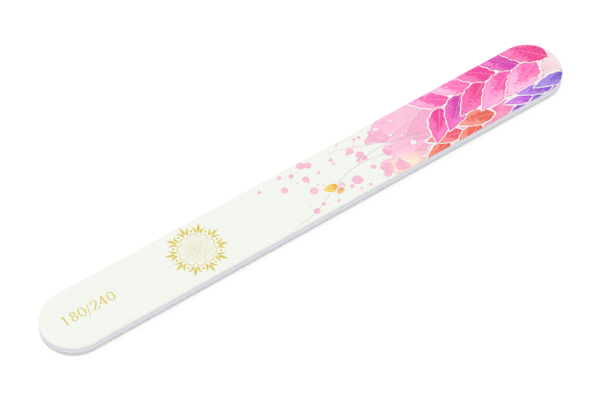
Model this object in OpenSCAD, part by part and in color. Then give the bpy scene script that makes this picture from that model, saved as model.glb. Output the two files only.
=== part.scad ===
// Cushion nail file: a straight board with full round ends, cut by one steel die from a glued stack of
// sheets. From the table up the stack is fine abrasive paper, foam, a stiff core, foam and medium
// abrasive paper, with a film of adhesive at every joint.
// The origin is the middle of the underside. X runs along the board and Z up through the stack.

/* [Outline] */
// Length over both round ends
file_l = 178; // [120:1:250]
// Width, the same from end to end
file_w = 20; // [12:0.5:40]

/* [Core] */
// Thickness of the stiff plastic strip in the middle
core_t = 0.8; // [0.4:0.05:2]

/* [Foam] */
// Thickness of each foam pad
foam_t = 0.9; // [0.6:0.05:3]
// How far a pad's rim draws in between its two faces, where the die squeezed it
foam_waist = 0.12; // [0.02:0.01:0.3]

/* [Abrasive paper] */
// Thickness of each sheet of backing paper
paper_t = 0.18; // [0.1:0.01:0.4]
// Thickness of the grit coat on the medium side
coat_180_t = 0.13; // [0.08:0.01:0.3]
// Thickness of the grit coat on the fine side
coat_240_t = 0.11; // [0.06:0.01:0.3]

/* [Adhesive] */
// Thickness of each film of adhesive
film_t = 0.1; // [0.05:0.01:0.25]

/* [Cut rim] */
// Width of the band along the rim where the die rolled the paper over
roll_w = 0.55; // [0.3:0.05:1.2]
// How far the edge of the paper is rolled towards the core
roll_drop = 0.25; // [0.05:0.01:0.35]

/* [Hidden] */

// Straight steps in the rolled edge and in a pad's drawn-in rim
roll_steps = 6;
waist_steps = 8;
// Facets round a full turn of the board's ends
end_facets = 96;

// Half the width, which is also the radius of the ends, and the length between the ends' centres
rim_x = file_w / 2;
straight_l = file_l - file_w;

// The rolled edge is an arc that leaves the flat of the face without a step
roll_r = (roll_w ^ 2 + roll_drop ^ 2) / (2 * roll_drop);
roll_angle = asin(roll_w / roll_r);

// Underside of each layer, from the table up
paper_240_z = coat_240_t;
paper_film_240_z = paper_240_z + paper_t;
foam_240_z = paper_film_240_z + film_t;
core_film_240_z = foam_240_z + foam_t;
core_z = core_film_240_z + film_t;
core_film_180_z = core_z + core_t;
foam_180_z = core_film_180_z + film_t;
paper_film_180_z = foam_180_z + foam_t;
paper_180_z = paper_film_180_z + film_t;
coat_180_z = paper_180_z + paper_t;

// Which way a face turns at the rim: the lower sheets were rolled up and the upper ones down
flat = 0;
up = 1;
down = -1;

function reversed(points) = [for (i = [len(points) - 1:-1:0]) points[i]];

// One face of a layer near the rim, from the flat outwards, in the half plane of width and height
function face_line(z, turn) =
    turn == flat
        ? [[rim_x, z]]
        : [for (i = [0:roll_steps])
              let (a = roll_angle * i / roll_steps)
              [rim_x - roll_w + roll_r * sin(a), z + turn * roll_r * (1 - cos(a))]];

// The rim itself between the corners of the two faces, drawn in along half a sine wave
function rim_line(low, high, waist) =
    waist == 0
        ? []
        : [for (i = [1:waist_steps - 1])
              let (u = i / waist_steps)
              [rim_x - waist * sin(180 * u), low.y + (high.y - low.y) * u]];

// Half of a layer's cross-section without the middle: lower face, rim and upper face
function half_section(z, t, low_turn, high_turn, waist) =
    let (
        low = face_line(z, low_turn),
        high = face_line(z + t, high_turn),
        rim = rim_line(low[len(low) - 1], high[len(high) - 1], waist)
    )
    concat(low, rim, reversed(high));

// A layer of thickness t with its flat underside at height z, carried round the board's outline:
// a straight run with the whole section, and half a turn of the half section at each end
module layer(z, t, low_turn = flat, high_turn = flat, waist = 0) {
    half = half_section(z, t, low_turn, high_turn, waist);
    other_half = reversed([for (p = half) [-p.x, p.y]]);

    translate([-straight_l / 2, 0, 0])
        rotate([90, 0, 90])
            linear_extrude(straight_l)
                polygon(concat(half, other_half));
    for (side = [-1, 1])
        translate([side * straight_l / 2, 0, 0])
            rotate([0, 0, side * -90])
                rotate_extrude(angle = 180, $fn = end_facets)
                    polygon(concat([[0, z]], half, [[0, z + t]]));
}

// Fine side, which lies on the table
module grit_coat_240() color("#eef0ea") layer(0, coat_240_t, up, up);
module paper_backing_240() color("#e6e3da") layer(paper_240_z, paper_t, up, up);
module paper_film_240() color("#dcdcd6") layer(paper_film_240_z, film_t, up, up);
module foam_pad_240() color("#d9d9df") layer(foam_240_z, foam_t, up, flat, foam_waist);
module core_film_240() color("#dcdcd6") layer(core_film_240_z, film_t);

// Stiffener between the two cushioned sides
module core_strip() color("#ededf0") layer(core_z, core_t);

// Medium side, which faces up
module core_film_180() color("#dcdcd6") layer(core_film_180_z, film_t);
module foam_pad_180() color("#d9d9df") layer(foam_180_z, foam_t, flat, down, foam_waist);
module paper_film_180() color("#dcdcd6") layer(paper_film_180_z, film_t, down, down);
module paper_backing_180() color("#e6e3da") layer(paper_180_z, paper_t, down, down);
module grit_coat_180() color("#f3f6ee") layer(coat_180_z, coat_180_t, down, down);

grit_coat_240();
paper_backing_240();
paper_film_240();
foam_pad_240();
core_film_240();
core_strip();
core_film_180();
foam_pad_180();
paper_film_180();
paper_backing_180();
grit_coat_180();
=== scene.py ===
"""Looks of a cushioned nail file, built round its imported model, in metres in the row's frame.

The file is a laminate, cut out with one stroke of a die. The classes below are its parts: the sheets
of the stack with their cut rims, the painting printed on the upper grit coat, the gold foil stamped
on it, and the studio that shows it.
"""

import logging
import math
from dataclasses import dataclass, field, replace
from enum import Enum, StrEnum, auto
from typing import ClassVar

import bpy
import numpy as np
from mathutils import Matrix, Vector


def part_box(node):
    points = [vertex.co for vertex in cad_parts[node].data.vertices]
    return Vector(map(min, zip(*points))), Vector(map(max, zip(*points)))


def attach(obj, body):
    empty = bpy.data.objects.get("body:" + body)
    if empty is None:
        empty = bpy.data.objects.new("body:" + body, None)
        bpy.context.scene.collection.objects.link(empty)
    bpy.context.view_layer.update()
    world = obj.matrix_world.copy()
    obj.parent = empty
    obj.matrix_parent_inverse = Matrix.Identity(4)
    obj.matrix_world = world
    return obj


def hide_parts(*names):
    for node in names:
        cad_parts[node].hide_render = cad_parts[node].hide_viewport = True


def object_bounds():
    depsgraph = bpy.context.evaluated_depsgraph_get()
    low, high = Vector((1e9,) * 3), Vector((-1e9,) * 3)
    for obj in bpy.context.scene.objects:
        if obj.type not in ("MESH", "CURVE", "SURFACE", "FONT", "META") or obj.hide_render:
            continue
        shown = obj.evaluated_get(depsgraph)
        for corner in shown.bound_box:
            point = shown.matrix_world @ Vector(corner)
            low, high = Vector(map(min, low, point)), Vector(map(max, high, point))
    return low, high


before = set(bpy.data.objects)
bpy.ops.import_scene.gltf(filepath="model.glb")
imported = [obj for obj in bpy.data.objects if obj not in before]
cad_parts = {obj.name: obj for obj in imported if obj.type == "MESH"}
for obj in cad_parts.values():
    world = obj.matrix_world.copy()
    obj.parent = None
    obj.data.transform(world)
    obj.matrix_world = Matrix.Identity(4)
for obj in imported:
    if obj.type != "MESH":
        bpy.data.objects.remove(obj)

CAD_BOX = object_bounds()
MM = 0.001
BODY = "root"
log = logging.getLogger("nail_file")

# Two places or measures, or the two ends of a range
Pair = tuple[float, float]
Array = np.ndarray
Node = bpy.types.Node
# A node's settings, and what can feed an input: a node, one of its outputs, or a hex colour
Settings = dict[str | int, float | str | bool | tuple[float, ...]]
Source = Node | bpy.types.NodeSocket | str | None

# A mix of two colours, whose inputs go by number because others share their names, and a soft range
COLOURS = {"data_type": "RGBA"}
MIX_A, MIX_B = 6, 7
SOFT = {"interpolation_type": "SMOOTHSTEP"}
# Range that the noise pattern seldom leaves
NOISE_LOW, NOISE_HIGH = 0.32, 0.68


def linear(hex_colour: str) -> tuple[float, float, float, float]:
    """Turn an sRGB colour into linear light.

    Args:
        hex_colour: six hex digits after a hash sign.

    Returns:
        Red, green and blue in linear light, and an alpha of 1.
    """
    parts = [int(hex_colour[i : i + 2], 16) / 255 for i in (1, 3, 5)]
    light = [p / 12.92 if p <= 0.04045 else ((p + 0.055) / 1.055) ** 2.4 for p in parts]
    return (*light, 1.0)


def light_of(hex_colour: str) -> Array:
    """Turn an sRGB colour into red, green and blue in linear light, as an array."""
    return np.array(linear(hex_colour)[:3])


def smooth(low: float, high: float, value: Array) -> Array:
    """Rise from 0 at low to 1 at high along 3 t^2 - 2 t^3, on whole arrays."""
    t = np.clip((value - low) / (high - low), 0.0, 1.0)
    return t * t * (3 - 2 * t)


def tangents(path: Array, closed: bool) -> Array:
    """Unit directions along a path, row by row: the difference between each place's two neighbours."""
    step = np.roll(path, -1, 0) - np.roll(path, 1, 0) if closed else np.gradient(path, axis=0)
    return step / np.linalg.norm(step, axis=1)[:, None]


@dataclass(frozen=True)
class Nodes:
    """A node tree, and the coordinates that its patterns read.

    Attributes:
        tree: the nodes of a material or of the world.
        place: object coordinates, in metres.
    """

    tree: bpy.types.NodeTree
    place: Source = None

    def add(self, kind: str, settings: Settings | None = None, links: dict | None = None) -> Node:
        """Add one node with its settings and links.

        Args:
            kind: Blender's name of the node type, without the "ShaderNode" that it starts with.
            settings: property names, or input names or numbers, with their values.
            links: input names or numbers, with what feeds them. Of a node it is the first output in
                use, and where it is None the input stays as it is.

        Returns:
            The new node.
        """
        made = self.tree.nodes.new("ShaderNode" + kind)
        for name, value in (settings or {}).items():
            if isinstance(name, str) and hasattr(made, name):
                setattr(made, name, value)
            else:
                made.inputs[name].default_value = value
        for name, source in (links or {}).items():
            if isinstance(source, Node):
                source = next(o for o in source.outputs if o.enabled)
            if isinstance(source, str):
                made.inputs[name].default_value = linear(source)
            elif source is not None:
                self.tree.links.new(source, made.inputs[name])
        return made


@dataclass(frozen=True)
class Patches:
    """Soft patches over a surface, from one to the next of which a value wanders.

    Attributes:
        size: typical size of a patch, in metres.
        low: the value in the lowest patches.
        high: the value in the highest ones.
    """

    size: float
    low: float
    high: float

    def on(self, nodes: Nodes) -> Node:
        """Spread the patches with a noise pattern.

        Args:
            nodes: the material's nodes.

        Returns:
            The node that gives the value.
        """
        noise = nodes.add("TexNoise", {"Scale": 1 / self.size, "Detail": 3.0}, {"Vector": nodes.place})
        spread = {"From Min": NOISE_LOW, "From Max": NOISE_HIGH, "To Min": self.low, "To Max": self.high}
        return nodes.add("MapRange", spread, {"Value": noise})


@dataclass(frozen=True)
class Grains:
    """Packed grains on a surface, or cells sunk into it, one in each cell of a Voronoi pattern.

    Attributes:
        size: distance between neighbouring grains, in metres.
        depth: height of a grain over its gaps, in metres.
        sunk: whether they are cells that are sunk in.
    """

    size: float
    depth: float = 0.0
    sunk: bool = False

    def relief(self, nodes: Nodes, below: Source = None) -> Node:
        """Raise the grains over the relief below them, or sink the cells into it.

        Args:
            nodes: the material's nodes.
            below: the normal to start from.

        Returns:
            The node that gives the new normal.
        """
        cells = nodes.add("TexVoronoi", {"Scale": 1 / self.size}, {"Vector": nodes.place})
        bump = {"Distance": self.depth, "Strength": 1.0, "invert": not self.sunk}
        return nodes.add("Bump", bump, {"Height": cells, "Normal": below})

    def lots(self, nodes: Nodes) -> tuple[Node, Node]:
        """Draw a number from 0 to 1 for each grain, and measure each spot's distance to its middle."""
        cells = nodes.add("TexVoronoi", {"Scale": 1 / self.size}, {"Vector": nodes.place})
        return nodes.add("SeparateColor", links={"Color": cells.outputs["Color"]}), cells


class Turn(Enum):
    """Which way a sheet's face turns at the cut rim."""

    FLAT = 0
    UP = 1
    DOWN = -1


class Field(StrEnum):
    """Fields of the painting on the printed mesh, under their names in lower case."""

    WASH_DEPTH = auto()
    WASH_COLOUR = auto()
    GHOST_DEPTH = auto()
    DROP_DEPTH = auto()
    LINE_OFFSET = auto()
    LEAF_DEPTH = auto()
    LEAF_COLOUR = auto()
    LEAF_DEEP = auto()
    LEAF_CHARGE = auto()
    LEAF_RIB = auto()
    LEAF_VEIN = auto()
    SPECKS = auto()


@dataclass(frozen=True)
class Shell:
    """A closed surface: points in metres, and faces as four or three point numbers each."""

    points: Array
    quads: Array
    tris: Array

    @staticmethod
    def joined(shells: list["Shell"]) -> "Shell":
        """Put several closed surfaces into one.

        Args:
            shells: the surfaces, which stay separate bodies of one mesh.

        Returns:
            One shell with the points of all and the faces renumbered.
        """
        starts = np.cumsum([0] + [len(s.points) for s in shells[:-1]])
        return Shell(
            np.concatenate([s.points for s in shells]),
            np.concatenate([s.quads + at for s, at in zip(shells, starts)]),
            np.concatenate([s.tris + at for s, at in zip(shells, starts)]),
        )

    def mesh(self, name: str, sharp_degrees: float) -> bpy.types.Mesh:
        """Write the surface into a Blender mesh.

        Args:
            name: the mesh's name.
            sharp_degrees: edges that fold by more than this stay sharp.

        Returns:
            The mesh, shaded smooth between its sharp edges.
        """
        made = bpy.data.meshes.new(name)
        made.from_pydata(self.points, [], [*self.quads.tolist(), *self.tris.tolist()])
        made.polygons.foreach_set("use_smooth", np.ones(len(made.polygons), bool))
        made.set_sharp_from_angle(angle=math.radians(sharp_degrees))
        made.update()
        return made


def ellipse(across: Array | float, up: Array | float, turn: Array) -> Array:
    """Places round an ellipse, row by row: its two half widths times the cosine and sine of the turn."""
    return np.stack([across * np.cos(turn), up * np.sin(turn)], 1)


def full_turn(count: int) -> Array:
    """Angles at even distances once round."""
    return np.linspace(0, 2 * np.pi, count, endpoint=False)


def put(name: str, data: bpy.types.ID) -> bpy.types.Object:
    """Put a mesh, a light or a camera into the scene.

    Args:
        name: the new object's name.
        data: what it shows.

    Returns:
        The object.
    """
    made = bpy.data.objects.new(name, data)
    bpy.context.scene.collection.objects.link(made)
    return made


def show(
    mesh: bpy.types.Mesh, material: bpy.types.Material, replaced: tuple[str, ...] = ()
) -> bpy.types.Object:
    """Make a finished piece of the object from its mesh.

    Args:
        mesh: its mesh, already in place, under the piece's name.
        material: its finish.
        replaced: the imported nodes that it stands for.

    Returns:
        The piece, riding on the file's one body.
    """
    mesh.materials.append(material)
    piece = put(mesh.name, mesh)
    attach(piece, BODY)
    if replaced:
        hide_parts(*replaced)
    log.info("%s: %d points, %d faces", piece.name, len(mesh.vertices), len(mesh.polygons))
    return piece


@dataclass(frozen=True)
class Track:
    """Stations round the outline.

    Attributes:
        stops: places of the spine's points along X.
        spine: the spine point that each station belongs to.
        normal: each station's direction out from the spine.
        run: how far along the rim each station lies.
        length: the length of the whole rim.
    """

    stops: Array
    spine: Array
    normal: Array
    run: Array
    length: float

    def carried(self, out: Array, height: Array) -> Shell:
        """Carry a half section round the outline and close it along the spine.

        Station i and section point j give the point spine(i) + out(i, j) * normal(i), at height(i, j).
        The first and last section points join the spine at their own heights.

        Args:
            out: distances from the spine, one row for each station.
            height: heights, in the same rows.

        Returns:
            The closed surface, with its faces turned outwards.
        """
        stations, points = out.shape
        middle = np.stack([self.stops[self.spine], 0.0 * self.spine], 1)
        flat = middle[:, None] + out[:, :, None] * self.normal[:, None]
        ring = np.concatenate([flat, height[:, :, None]], 2).reshape(-1, 3)
        floor = stations * points
        roof = floor + len(self.stops)
        level = 0 * self.stops
        ends = [np.stack([self.stops, level, level + z], 1) for z in (height[0, 0], height[0, -1])]

        here = np.arange(stations)[:, None] * points + np.arange(points - 1)
        there = np.roll(here, -1, 0)
        walls = np.stack([here, there, there + 1, here + 1], 2).reshape(-1, 4)

        own, after = self.spine, np.roll(self.spine, -1)
        first, next_first = here[:, 0], there[:, 0]
        last, next_last = first + points - 1, next_first + points - 1
        below = np.stack([floor + own, floor + after, next_first, first], 1)
        above = np.stack([last, next_last, roof + after, roof + own], 1)
        run, turn = own != after, own == after
        return Shell(
            np.concatenate([ring, *ends]),
            np.concatenate([walls, below[run], above[run]]),
            np.concatenate([below[turn][:, [0, 2, 3]], above[turn][:, [0, 1, 2]]]),
        )


@dataclass(frozen=True)
class Outline:
    """The board's outline from above: a straight run between two half turns.

    Every point of the board lies at some distance out from a spine, the straight line that joins the
    centres of the two half turns, so all sheets are sections carried round that spine.

    Attributes:
        half_run: half the length of the spine.
        radius: of the half turns, which is half the board's width.
    """

    half_run: float
    radius: float

    @classmethod
    def from_box(cls, low: Vector, high: Vector) -> "Outline":
        """Read the outline, which has full round ends, from the corners of the box that it fills."""
        radius = (high.y - low.y) / 2
        return cls((high.x - low.x) / 2 - radius, radius)

    def round_trip(self, stops: Array, grid: float) -> Track:
        """Lay stations once round the outline, anticlockwise from the front left corner.

        Args:
            stops: places along the straight run, from one end of the spine to the other.
            grid: their spacing round the ends.

        Returns:
            The stations, of which both sides of the run share the spine's points.
        """
        last = len(stops) - 1
        steps = int(np.pi * self.radius / grid)
        there, back = np.arange(last + 1), np.arange(last, -1, -1)
        held = np.ones(steps - 1, int)
        spine = np.concatenate([there, last * held, back, 0 * held])
        turn = np.pi * np.arange(1, steps) / steps
        side = np.full(last + 1, np.pi / 2)
        angle = np.concatenate([-side, turn - np.pi / 2, side, turn + np.pi / 2])
        normal = ellipse(1.0, 1.0, angle)
        rim = np.stack([stops[spine], 0.0 * spine], 1) + self.radius * normal
        step = np.linalg.norm(np.roll(rim, -1, 0) - rim, axis=1)
        return Track(stops, spine, normal, np.cumsum(step) - step, float(step.sum()))


@dataclass(frozen=True)
class Relief:
    """Unevenness of a cut rim: a sum of sine waves along and across it, closed round the outline.

    Attributes:
        depth: how far the rim lies in at the most.
        along: typical wavelength along the rim.
        across: typical wavelength up the rim, or 0 where the marks run straight up.
        seed: the draw of the waves.
        waves: how many waves are added up.
        spread: least and largest number of waves along the rim, over the typical one.
        climb: the same up the rim, where waves also lean the other way.
    """

    depth: float
    along: float
    across: float
    seed: int
    waves: int = 28
    spread: Pair = (0.5, 1.7)
    climb: Pair = (-1.2, 1.2)

    def inset(self, track: Track, height: Array) -> Array:
        """How far in each rim point lies, between 0 and depth, squeezed by a hyperbolic tangent.

        Args:
            track: the stations round the outline.
            height: heights of the rim points, one row for each station.

        Returns:
            The insets, in the same rows.
        """
        draw = np.random.default_rng(self.seed)
        turns = np.round(track.length / self.along * draw.uniform(*self.spread, self.waves))
        rise = draw.uniform(*self.climb, self.waves) / self.across if self.across else 0 * turns
        phase = draw.uniform(0, 2 * np.pi, self.waves)
        share = track.run[:, None] / track.length
        total = np.zeros_like(height)
        for count, climb, start in zip(turns, rise, phase):
            total += np.sin(2 * np.pi * (count * share + climb * height) + start)
        return self.depth * 0.5 * (1 + np.tanh(total / math.sqrt(self.waves / 2)))


@dataclass(frozen=True)
class Die:
    """The cut of the die: the outline, and the rolled rim that it leaves on the papers.

    Attributes:
        outline: the board's outline.
        roll_drop: how far the paper's edge is rolled towards the core.
        roll_width: width of the band where it is rolled over.
        steps: steps in the rolled arc.
    """

    outline: Outline
    roll_drop: float
    roll_width: float = 0.55 * MM
    steps: int = 8

    def face(self, height: float, turn: Turn) -> tuple[Array, Array]:
        """Work out a sheet's face near the rim, from the flat outwards: an arc that leaves it smoothly.

        Args:
            height: the face's height on the flat.
            turn: which way it turns.

        Returns:
            Distances from the spine, and heights.
        """
        radius = (self.roll_width**2 + self.roll_drop**2) / (2 * self.roll_drop)
        angle = math.asin(self.roll_width / radius) * np.linspace(0, 1, self.steps + 1)
        inset = self.roll_width - radius * np.sin(angle)
        return self.outline.radius - inset, height + turn.value * radius * (1 - np.cos(angle))


@dataclass(frozen=True)
class Finish:
    """What all finishes share: a material that reads object coordinates.

    Attributes:
        name: the material's name.
    """

    name: str

    def surface(self, nodes: Nodes) -> Node:
        """Build the shader; each kind of finish has its own."""
        raise NotImplementedError

    def material(self) -> bpy.types.Material:
        """Make the material.

        Returns:
            A new material with the finish's shader at its output.
        """
        made = bpy.data.materials.new(self.name)
        made.use_nodes = True
        made.node_tree.nodes.clear()
        nodes = Nodes(made.node_tree)
        nodes = replace(nodes, place=nodes.add("TexCoord").outputs["Object"])
        nodes.add("OutputMaterial", links={"Surface": self.surface(nodes)})
        return made


@dataclass(frozen=True)
class LayerFinish(Finish):
    """Finish of one of the file's own materials: two tones mixed by a pattern, and a relief.

    Attributes:
        colour: the main tone.
        shade: the tone that the pattern mixes in.
        mixed: patches that tell how far it is mixed in, where no other pattern does.
        matt: patches of roughness, where it isn't the same all over.
        raised: the grains or cells of the relief, from the lowest layer up.
        squeeze: how far the patterns are squeezed along each axis; below 1 they are stretched.
        gloss: the shader's own settings.
    """

    colour: str = "#ffffff"
    shade: str = "#ffffff"
    mixed: ClassVar[Patches | None] = None
    matt: ClassVar[Patches | None] = None
    raised: ClassVar[tuple[Grains, ...]] = ()
    squeeze: ClassVar[tuple[float, float, float] | None] = None
    gloss: ClassVar[Settings] = {}

    def share(self, nodes: Nodes) -> Node:
        """Tell how far the shade is mixed in."""
        return self.mixed.on(nodes)

    def toned(self, nodes: Nodes) -> Node:
        """Mix the two tones."""
        return nodes.add("Mix", COLOURS, {0: self.share(nodes), MIX_A: self.colour, MIX_B: self.shade})

    def relief(self, nodes: Nodes) -> Node | None:
        """Lay the grains or cells, one layer over another.

        Args:
            nodes: the material's nodes.

        Returns:
            The node that gives the normal, or None where the surface is smooth.
        """
        normal = None
        for grains in self.raised:
            normal = grains.relief(nodes, normal)
        return normal

    def surface(self, nodes: Nodes) -> Node:
        """Build the shader from the finish's own patterns.

        Args:
            nodes: the material's nodes.

        Returns:
            The shader.
        """
        if self.squeeze:
            squeezed = nodes.add("Mapping", {"Scale": self.squeeze}, {"Vector": nodes.place})
            nodes = replace(nodes, place=squeezed)
        roughness = self.matt.on(nodes) if self.matt else None
        made = {"Base Color": self.toned(nodes), "Roughness": roughness, "Normal": self.relief(nodes)}
        return nodes.add("BsdfPrincipled", self.gloss, made)


@dataclass(frozen=True)
class BareGrit(LayerFinish):
    """White fused alumina in a white resin coat, electrostatically sprinkled and sized over.

    To the eye it is a matt, slightly warm white that breaks up into a fine tooth close by: the shade
    dulls some grains a little at random and darkens the gaps between them as painted shade. The grains
    of P240 are 0.058 mm, too fine to show, so a coarser tooth of 0.2 mm is drawn below them, and the
    roughness varies over patches of that size.

    Attributes:
        tooth: the drawn grains.
        dull: the dullness of a grain, where those with the least have none.
        painted_gap_shade: where the painted shade of a gap starts and ends, in grain sizes from a grain's
            middle.
    """

    colour: str = "#f5f8f1"
    shade: str = "#ebeee7"
    tooth: ClassVar[Grains] = Grains(0.2 * MM, 0.03 * MM)
    raised = (tooth, Grains(0.058 * MM, 0.01 * MM))
    matt = Patches(0.2 * MM, 0.65, 0.9)
    gloss = {"IOR": 1.5, "Specular IOR Level": 0.3}
    dull: ClassVar[Settings] = {"To Min": -0.1, "To Max": 0.45}
    painted_gap_shade: ClassVar[Settings] = {"From Min": 0.4, "From Max": 0.8}

    def share(self, nodes: Nodes) -> Node:
        """Tell how much shade each spot gets: a little dullness on some grains, and painted shade in the
        gaps.

        Args:
            nodes: the material's nodes.

        Returns:
            The node that gives the share of the shade.
        """
        lot, away = self.tooth.lots(nodes)
        grain = nodes.add("MapRange", self.dull, {"Value": lot})
        # painted shade: the gaps between the grains are darkened where shade would fall
        painted_gap_shade = nodes.add("MapRange", self.painted_gap_shade, {"Value": away})
        return nodes.add("Math", {"operation": "MAXIMUM"}, {0: grain, 1: painted_gap_shade})


@dataclass(frozen=True)
class CutPaper(LayerFinish):
    """Latex-treated kraft backing paper, seen only on its cut edge: short bleached fibres, white, matt.

    The shade is that of the darker bundles of fibres, and the patterns are stretched as the fibres lie,
    along the sheet.
    """

    colour: str = "#f3f3f5"
    shade: str = "#dedee1"
    mixed = Patches(0.06 * MM, 0.0, 0.7)
    raised = (Grains(0.06 * MM, 0.008 * MM),)
    squeeze = (0.35, 0.35, 1.6)
    gloss = {"IOR": 1.5, "Roughness": 0.9, "Specular IOR Level": 0.2}


@dataclass(frozen=True)
class AdhesiveFilm(LayerFinish):
    """Clear acrylic transfer tape: at the rim a thin grey line with a soft gloss.

    The shade is that of dust, which stuck to the edge in patches where it stayed tacky.
    """

    colour: str = "#eaeaea"
    shade: str = "#d6d6da"
    mixed = Patches(0.5 * MM, 0.0, 0.8)
    matt = Patches(0.3 * MM, 0.3, 0.55)
    gloss = {"IOR": 1.47}


@dataclass(frozen=True)
class CellFoam(LayerFinish):
    """White closed-cell EVA foam, sliced by the die: a dull, cool white of fine open cells.

    The colour is that of the cell walls, and the shade is painted shade inside each opened cell,
    deepest at its middle. There are larger pores among the cells.

    Attributes:
        cells: the cells that the cut opened.
        painted_pit_shade: how the painted shade in a cell deepens from its wall to its middle.
    """

    colour: str = "#f4f4fb"
    shade: str = "#dadae4"
    cells: ClassVar[Grains] = Grains(0.14 * MM, 0.05 * MM, sunk=True)
    raised = (cells, Grains(0.378 * MM, 0.05 * MM, sunk=True))
    gloss = {"IOR": 1.48, "Roughness": 0.95, "Specular IOR Level": 0.15}
    # painted shade: the inside of each opened cell is darkened, deepest at its middle
    painted_pit_shade: ClassVar[Settings] = {"From Min": 0.15, "From Max": 0.7, "To Min": 0.9, "To Max": 0.0}

    def share(self, nodes: Nodes) -> Node:
        """Paint shade into the cells, deepest at their middles."""
        cells = nodes.add("TexVoronoi", {"Scale": 1 / self.cells.size}, {"Vector": nodes.place})
        return nodes.add("MapRange", self.painted_pit_shade, {"Value": cells})


@dataclass(frozen=True)
class CutPolystyrene(LayerFinish):
    """White high-impact polystyrene sheet, die-cut: satin, with faint marks straight up the edge.

    The shade is that of the scuffed marks, whose pattern is stretched up the thickness.

    Attributes:
        burr: how far the marks stand out.
    """

    colour: str = "#f2f2f8"
    shade: str = "#e4e4ec"
    mixed = Patches(0.18 * MM, 0.0, 1.0)
    squeeze = (1.0, 1.0, 0.05)
    gloss = {"IOR": 1.59, "Roughness": 0.42}
    burr: ClassVar[float] = 0.01 * MM

    def relief(self, nodes: Nodes) -> Node:
        """Raise the scuffed marks."""
        return nodes.add("Bump", {"Distance": self.burr}, {"Height": self.mixed.on(nodes)})


@dataclass(frozen=True)
class GoldFoil(LayerFinish):
    """Hot-stamped metallised foil: a satin gold that follows the tooth of the grit below it.

    The shade is that of the foil where it was pressed hardest.

    Attributes:
        worn: the foil where grains show through.
        tooth: how the grit's tooth shows through it.
        rubbed: how far the foil is rubbed off a grain, which on most is not at all.
    """

    colour: str = "#e5d148"
    shade: str = "#cdb234"
    mixed = Patches(1.1 * MM, 0.0, 0.6)
    matt = Patches(0.32 * MM, 0.25, 0.5)
    gloss = {"Metallic": 1.0}
    worn: ClassVar[str] = "#f5e9a6"
    tooth: ClassVar[Grains] = Grains(0.16 * MM, 0.012 * MM)
    raised = (tooth,)
    rubbed: ClassVar[Settings] = {"To Min": -0.9, "To Max": 0.7}

    def toned(self, nodes: Nodes) -> Node:
        """Rub the pressed foil off some grains.

        Args:
            nodes: the material's nodes.

        Returns:
            The node that gives the colour.
        """
        foil = super().toned(nodes)
        lot, _ = self.tooth.lots(nodes)
        bare = nodes.add("MapRange", self.rubbed, {"Value": lot})
        return nodes.add("Mix", COLOURS, {0: bare, MIX_A: foil, MIX_B: self.worn})


@dataclass(frozen=True)
class Brush:
    """How one kind of paint settles inside its edge. Depths are in millimetres.

    Attributes:
        cover: the share that the paint covers.
        pooled: the share by which the pigment that pools along the edge takes over there.
        pool: how far in from the edge it pools.
        edge: half the width of the soft edge.
        wander: how far the edge wanders.
        grain: size of that wandering, in metres.
    """

    cover: float = 1.0
    pooled: float = 0.5
    pool: float = 0.5
    edge: float = 0.05
    wander: float = 0.1
    grain: float = 0.9 * MM

    def paint(self, nodes: Nodes, depth: Source, below: Node, tone: Source, pigment: Source) -> Node:
        """Lay paint over what is below it.

        Args:
            nodes: the material's nodes.
            depth: the signed depth inside the paint's edge.
            below: the colour so far.
            tone: the paint's colour.
            pigment: the colour that pools along its edge.

        Returns:
            The node that gives the new colour.
        """
        wander = Patches(self.grain, -self.wander, self.wander).on(nodes)
        inside = nodes.add("Math", {"operation": "ADD"}, {0: depth, 1: wander})
        near = {"From Min": 0.0, "From Max": self.pool, "To Min": self.pooled, "To Max": 0.0}
        pool = nodes.add("MapRange", SOFT | near, {"Value": inside})
        over = {"From Min": -self.edge, "From Max": self.edge, "To Min": 0.0, "To Max": self.cover}
        cover = nodes.add("MapRange", SOFT | over, {"Value": inside})
        wet = nodes.add("Mix", COLOURS, {0: pool, MIX_A: tone, MIX_B: pigment})
        return nodes.add("Mix", COLOURS, {0: cover, MIX_A: below, MIX_B: wet})


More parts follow.
